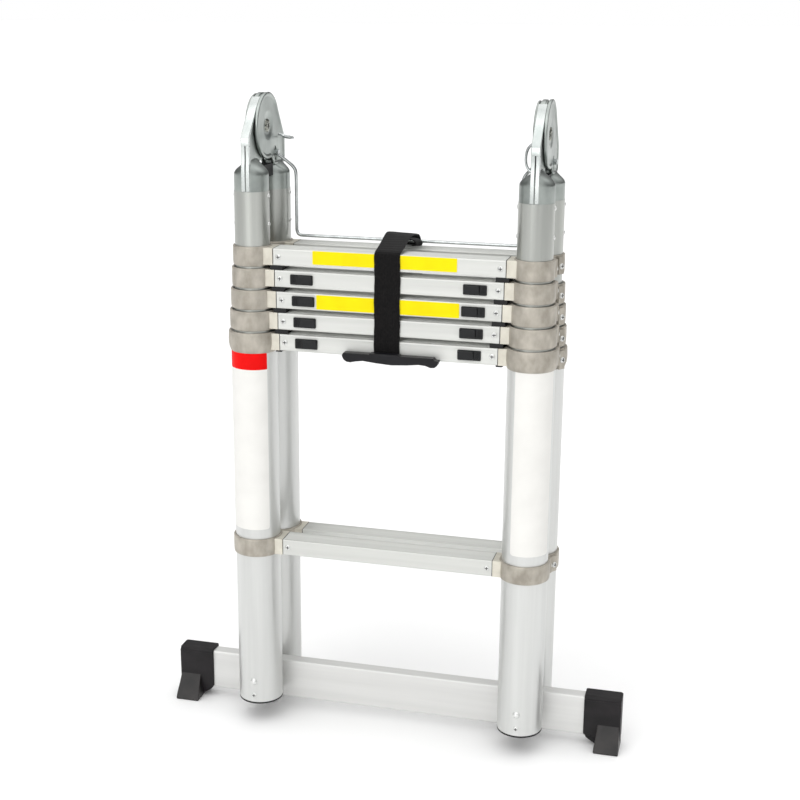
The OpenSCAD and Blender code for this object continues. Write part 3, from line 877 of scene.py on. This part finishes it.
plates = Shape()
for side in SIDES:
    rear_plate(plates, at_pivot(side) @ Matrix.Diagonal((1, 1, -1, 1)), PLAIN_R, PLAIN_RIM, PLAIN_FACE)
    rear_plate(plates, at_pivot(side), PLATE_R, PLATE_RIM, PLATE_FACE)
plate_piece = plates.piece("rear_hinge_sides", "rear_stage_1", STEEL, "hinge_steel",
                           "rear_hinge_plates", sharp=50)
slots = Shape()
for side in SIDES:
    slot_outline = (arc(LOCK_R + 0.3, 0, 180, 13, (LOCK_Y, LOCK_Z - PIVOT_Z + 4))
                    + arc(LOCK_R + 0.3, 180, 360, 13, (LOCK_Y, LOCK_Z - PIVOT_Z - 7.5)))
    slots.prism(slot_outline, -LOCK_HALF, LOCK_HALF, at_pivot(side))
slot_tool = slots.piece("slot_tool", "rear_stage_1", STEEL)
cut = plate_piece.modifiers.new("slot", "BOOLEAN")
cut.object, cut.operation, cut.solver = slot_tool, "DIFFERENCE", "EXACT"
settle(plate_piece)
bpy.data.objects.remove(slot_tool)

legs, leg_shoulders = Shape(), Shape()
for side in SIDES:
    for hand in (-1, 1):
        local = Matrix.Translation((side * HALF_X, 0, 0)) @ Matrix.Diagonal((hand, 1, 1, 1))
        shoulder(leg_shoulders, REAR_BASE, top_half=LEG_HALF, top_mid=45, top_d=22, rise=19,
                 at=local, y_axis=FACTS["rear", 1]["y"])
    legs.prism([(64.2, -56), (67.2, -56), (67.2, -21), (66.2, -19), (64.2, -19)],
               -LEG_HALF, LEG_HALF, at_pivot(side))
legs.piece("rear_hinge_legs", "rear_stage_1", STEEL, "hinge_steel", bevel=0.8, sharp=30)
leg_shoulders.piece("rear_hinge_shoulders", "rear_stage_1", STEEL, "hinge_steel", sharp=75)

heads = Shape()
for side in SIDES:
    for hand in (-1, 1):
        rosette(heads, at_pivot(side) @ Matrix.Diagonal((1, 1, hand, 1)), 9.9)
    heads.lathe([(0.02, -8), (7.9, -8), (7.9, 8), (0.02, 8)], at_pivot(side))
heads.piece("hinge_pivot_heads", "front_stage_1", RIVET, "fastener_steel", "hinge_pivots", sharp=40)


# ---- Release bail ----

WIRE_R = 2.3
WIRE_X = HALF_X - 34
BAIL_Z = box_mm("release_bail")[0].z + WIRE_R
WIRE_Y = 45
wire_path = [(HALF_X - 9, LOCK_Y, LOCK_Z - 2), (HALF_X - 13.5, 31, LOCK_Z - 4),
             (HALF_X - 20, 36, PIVOT_Z - 49), (HALF_X - 29, 43, PIVOT_Z - 58),
             (HALF_X - 33, WIRE_Y, PIVOT_Z - 64), (WIRE_X, WIRE_Y, PIVOT_Z - 74),
             (WIRE_X, WIRE_Y, BAIL_Z + 5), (WIRE_X - 1.5, WIRE_Y, BAIL_Z + 1.5),
             (WIRE_X - 5, WIRE_Y, BAIL_Z)]
finger_ring = [(HALF_X - 10.7, 31, LOCK_Z + 23), (HALF_X - 20, 32, LOCK_Z + 23),
               (HALF_X - 27, 33, LOCK_Z + 16), (HALF_X - 29.5, 34, LOCK_Z + 3),
               (HALF_X - 28, 34, LOCK_Z - 9), (HALF_X - 20, 33, LOCK_Z - 17),
               (HALF_X - 10.7, 31, LOCK_Z - 18)]
# the left ring lies flat, the right one stands upright
lie_flat = (Matrix.Translation((2.5, LOCK_Y + 9, LOCK_Z + 20))
            @ Matrix.Rotation(math.radians(-106), 4, "X") @ Matrix.Diagonal((1, 1, 0.5, 1))
            @ Matrix.Translation((0, -LOCK_Y - 3, -LOCK_Z - 3)))
ring_turns = {-1: lie_flat, 1: Matrix()}
lock_bolt = [(0.02, -LOCK_HALF), (LOCK_R - 0.6, -LOCK_HALF), (LOCK_R, 0.6 - LOCK_HALF),
             (LOCK_R, LOCK_HALF - 0.6), (LOCK_R - 0.6, LOCK_HALF), (0.02, LOCK_HALF)]
whole = [(-x, y, z) for x, y, z in wire_path] + [(x, y, z) for x, y, z in reversed(wire_path)]
bail = Shape()
bail.sweep(rounder(whole, 2, 5), arc(WIRE_R, 0, 330, 12), (0, 1, 0))
for side in SIDES:
    bail.sweep(rounder(finger_ring, 2.5, 5), arc(1.8, 0, 330, 12), (0, 1, 0),
               ring_turns[side] @ Matrix.Diagonal((side, 1, 1, 1)))
    across = Matrix.Translation((side * HALF_X, LOCK_Y, LOCK_Z)) @ facing((0, 0, 0), (1, 0, 0))
    bail.lathe(lock_bolt, across, 0, 32)
bail.piece("release_wire", "release_bail", WIRE, "bail_wire", "release_bail", sharp=40)


# ---- Bolts at the tube feet ----

FOOT_BOLT_Z = 66
FOOT_SCREW_Z = 44
SHANK_R = 3.9
NUT_R = 6.9
NUT_H = 5
foot_bolts = Shape()
tube5 = FACTS["front", 5]
bar_low, bar_high = box_mm("stabiliser_bar")
skin = tube5["y"] - tube5["r"]
shank = bar_low.y - skin + 7
for side in SIDES:
    x = side * HALF_X
    dome(foot_bolts, 5.4, 3.4, facing((x, skin + 0.4, FOOT_BOLT_Z), (0, -1, 0)), 32)
    foot_bolts.lathe([(0.02, 0), (SHANK_R, 0), (SHANK_R, shank), (0.02, shank)],
                     facing((x, skin + 1, FOOT_BOLT_Z), (0, 1, 0)), 0, 24)
    foot_bolts.lathe([(4, 0), (NUT_R, 0), (NUT_R, NUT_H), (4, NUT_H)],
                     facing((x, bar_low.y + 2, FOOT_BOLT_Z), (0, 1, 0)), 0, 6, closed=True)
    put_screw(foot_bolts, TREAD_SCREW, facing((x, skin, FOOT_SCREW_Z), (0, -1, 0)))
foot_bolts.piece("foot_bolts", "front_base", [BOLT, STOP_PLASTIC_AND_RECESS_SHADE], "fastener_steel", "bar_bolts",
                 bevel=0.2, sharp=50)


# ---- Boots on the stabiliser bar ----

BOOT_WALL = 3.5
BOOT_LONG = 53
boots = Shape()
boot_low, boot_high = box_mm("bar_boots")
for side in SIDES:
    flip = Matrix.Diagonal((side, 1, 1, 1))
    out, start = boot_high.x, boot_high.x - BOOT_LONG
    front, back = bar_low.y - BOOT_WALL, bar_high.y + BOOT_WALL
    low, high = bar_low.z - BOOT_WALL, bar_high.z + BOOT_WALL
    # the cap: a sleeve that narrows a little downwards, chamfered under its inner end
    rings = []
    for x, pull in ((start, 0.5), (start + 2, 0), (out - 3, 0), (out, 0.9)):
        sole = low + 6 * max(0, 1 - (x - start) / 12)
        rings.append([(x, front + pull + 0.4, sole + pull), (x, front + pull, low + 20),
                      (x, front + pull - 0.6, high - 7), (x, front + pull + 0.6, high - 5.2),
                      (x, front + pull + 2.2, high - 1.2 - pull), (x, front + 4.5, high - pull),
                      (x, back - pull - 1.2, high - pull), (x, back - pull, high - 1.5 - pull),
                      (x, back - pull, low + 10), (x, back - pull - 1, sole + pull)])
    boots.loft(rings, flip)
    ledge = [(front - 1.0, high - 6.6), (front + 1.5, high - 6.6),
             (front + 1.5, high - 4.6), (front - 1.0, high - 4.8)]
    boots.prism(ledge, start + 1, out - 0.4, flip @ ALONG_X)
    # the foot: a wedge that juts forward and widens to its sole
    toe = boot_low.y
    foot = []
    for z, y0, y1, x0, x1 in ((0, toe, back - 4, out - 35, out),
                              (2, toe, back - 3, out - 35.5, out),
                              (9, toe + 3.4, back - 1.6, out - 35, out - 0.3),
                              (22, toe + 13, back - 1, out - 33.5, out - 1.0),
                              (34, front - 0.5, back - 1, out - 32.5, out - 1.6),
                              (38, front + 2, back - 1, out - 32.5, out - 1.8)):
        foot.append([(x0, y0, z), (x1, y0, z), (x1, y1, z), (x0, y1, z)])
    # the foot takes the second material, rubber lightened as painted sheen
    boots.loft(foot, flip, 1)
    # the web that slopes from the cap's inner end down to the foot
    web = [(start + 4, low + 1), (start + 1.5, low + 8), (out - 20, low + 8),
           (out - 20, 2.5), (out - 34.5, 2.5)]
    boots.prism([(x, -z) for x, z in web], -back + 1.5, -front - 1.5,
                flip @ Matrix.Rotation(math.pi / 2, 4, "X") @ Matrix.Diagonal((1, -1, 1, 1)))
boots.piece("bar_boot_pair", "front_base", [RUBBER, TOE_PAINTED_SHEEN], "boot_rubber", "bar_boots", bevel=1.3, sharp=25)


# ---- Stickers, plain ----

def flat_sticker(name, half, k, x0, x1, drop0, drop1, mat):
    """A sticker on a tread's face, from drop0 to drop1 below the tread's top."""
    f = FACTS[half, k]
    shape = Shape()
    outline = [(x + (x0 + x1) / 2, z + f["top"] - (drop0 + drop1) / 2)
               for x, z in rounded(x1 - x0, drop1 - drop0, 1.2)]
    # the face is recessed between the tread's lips
    face = centre_line(half) @ Matrix.Translation((0, -f["depth"] / 2 + 0.02, 0))
    shape.prism(outline, 0, 0.16, face @ Matrix.Rotation(math.pi / 2, 4, "X"))
    shape.piece(name, stage_body(half, k), mat, sharp=60)


def curved_sticker(name, side, z0, z1, a0, a1, band):
    """A sticker round a front outer tube, angles in degrees from the front; its top band is red."""
    f = FACTS["front", 5]
    r0, r1 = f["r"] + 0.03, f["r"] + 0.2
    rings, corner = [], 4.0
    steps = [0, 0.6, 1.5, 2.7, corner] + [corner + (z1 - z0 - 2 * corner) * i / 12 for i in range(1, 12)]
    steps += [z1 - z0 - s for s in (corner, 2.7, 1.5, 0.6, 0)]
    shape = Shape()
    for s in steps:
        near = min(s, z1 - z0 - s)
        inset = corner - math.sqrt(max(0, corner ** 2 - (corner - min(near, corner)) ** 2))
        lost = math.degrees(inset / r1)
        angles = [a0 + lost + (a1 - a0 - 2 * lost) * i / 28 for i in range(29)]
        both = [(r1, a) for a in angles] + [(r0, a) for a in reversed(angles)]
        rings.append([(r * math.sin(math.radians(a)), -r * math.cos(math.radians(a)), z0 + s)
                      for r, a in both])
    shape.loft(rings, Matrix.Translation((side * HALF_X, f["y"], 0)))
    if band:
        for i, face in enumerate(shape.faces):
            z = sum(shape.verts[v].z for v in face) / len(face)
            if z > z1 - band:
                shape.slots[i] = 1
    shape.piece(name, "front_base", [WHITE, RED], sharp=60)


flat_sticker("top_tread_sticker", "front", 1, x0=-104, x1=95, drop0=0.8, drop1=19.2, mat=YELLOW)
flat_sticker("third_tread_sticker", "front", 3, x0=-99, x1=99, drop0=1.6, drop1=21.4, mat=YELLOW)
curved_sticker("left_tube_sticker", -1, z0=304, z1=564, a0=-70, a1=51, band=22)
curved_sticker("right_tube_sticker", 1, z0=304, z1=567, a0=-31, a1=77, band=0)


# ---- Carry strap and handle ----

STRAP_HALF = 18
STRAP_T = 1.9
grip_low, grip_high = box_mm("strap_handle")
front_y = FACTS["front", 1]["y"] - FACTS["front", 1]["depth"] / 2 - 1.3
rear_y = -front_y
top_front = FACTS["front", 1]["top"] + 1.4
top_rear = FACTS["rear", 1]["top"] + 1.6
low_front = FACTS["front", 5]["top"] - FACTS["front", 5]["h"] - 1.6
low_rear = FACTS["rear", 5]["top"] - FACTS["rear", 5]["h"] - 1.6
crest = top_front + 15.5
# up the front, over the handle and the release wire, and down the back
loop = [(0, front_y - 0.5, low_front), (0, front_y - 0.7, (low_front + top_front) / 2),
        (0, front_y, top_front), (0, front_y / 2, top_front + 8.5), (0, -2, crest), (0, 8, crest),
        (0, FACTS["rear", 1]["y"], BAIL_Z + WIRE_R + 8), (0, rear_y, top_rear),
        (0, rear_y + 0.5, (low_rear + top_rear) / 2), (0, rear_y, low_rear),
        (0, 0, (low_front + low_rear) / 2 - 1.4)]
path = rounder(loop, 4, 2, closed=True)
strap = Shape()
rings = []
for i, p in enumerate(path):
    ahead = (path[(i + 1) % len(path)] - path[i - 1]).normalized()
    out = Vector((0, -ahead.z, ahead.y))
    wave = 0.35 * math.sin(p.z * 0.11 + p.y * 0.05) + 0.2 * math.sin(p.z * 0.31)
    ring = []
    lean = 2.2 * max(0, 1 - abs(p.y) / -front_y) * (p.z > top_rear)
    for a, b in ([(-1 + j / 6, 0.5) for j in range(13)] + [(1 - j / 6, -0.5) for j in range(13)]):
        edge = 0.25 * (abs(a) > 0.95)
        sag = 0.3 * math.sin(a * 3 + p.z * 0.07)
        ring.append(p + Vector((a * STRAP_HALF + wave + 0.5, 0, -a * lean))
                    + out * (b * (STRAP_T - edge) + sag * 0.5))
    rings.append(ring)
strap.loft(rings, closed=True)
strap_piece = strap.piece("webbing_strap", "front_stage_1", STRAP, "strap_webbing", "carry_strap",
                          sharp=60, subdivide=1)

# the strap's loose end, which lies on the loop and curls off its right edge
tail_path = rounder([(-8, 2, top_front + 12.6), (8, 1, top_front + 11.6), (20, 0, top_front + 10.6),
                     (27.5, -1, top_front + 8.8), (29.5, -1, top_front + 4.6), (27, -1, top_front + 1.4),
                     (22, -1, top_front + 2.4)], 2, 3)
TAIL_HALF = 11
tail = Shape()
rings = []
for i, p in enumerate(tail_path):
    ahead = (tail_path[min(i + 1, len(tail_path) - 1)] - tail_path[max(i - 1, 0)]).normalized()
    across = Vector((0.25, 1, -0.12)).normalized()
    out = across.cross(ahead).normalized()
    section = [(-1 + j / 5, 0.5) for j in range(11)] + [(1 - j / 5, -0.5) for j in range(11)]
    rings.append([p + across * (a * TAIL_HALF) + out * (b * STRAP_T) for a, b in section])
tail.loft(rings)
tail_piece = tail.piece("strap_end", "front_stage_1", STRAP, "strap_webbing", sharp=60, subdivide=1)
# the strap and its loose end each get a mesh of their own
for cloth in (strap_piece, tail_piece):
    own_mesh(cloth)

grip = Shape()
g_w, g_top = grip_high.x - grip_low.x, grip_high.z
upright = Matrix.Rotation(math.pi / 2, 4, "X")
# depth of the finger side below the grip's top, by share of its width
drops = [(0, 4), (0.02, 9.5), (0.05, 12.2), (0.09, 12.8), (0.14, 11.2), (0.22, 9.6), (0.36, 11.6),
         (0.52, 13), (0.68, 11.6), (0.8, 9.8), (0.87, 10.6), (0.92, 12.9), (0.96, 12.6), (0.985, 10),
         (1, 5.2)]
bottom = [(grip_low.x + g_w * u, g_top - d) for u, d in drops]
outline = bottom + [(grip_high.x, g_top - 3.4), (grip_high.x - 6, g_top - 2.6),
                    (grip_high.x - 7, g_top), (grip_low.x + 2, g_top)]
grip.prism(outline, -grip_high.y, -grip_low.y, upright)
saddle = [(x + 0.5, z + g_top + 0.2) for x, z in rounded(2 * STRAP_HALF + 6, 2.4, 1)]
grip.prism(saddle, -grip_high.y + 1.5, -grip_low.y - 0.2, upright)
grip.piece("strap_grip", "front_stage_1", HANDLE, "handle_plastic", "strap_handle", bevel=2.2, sharp=28)


# ---- Bounds of the shown objects ----

low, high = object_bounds()
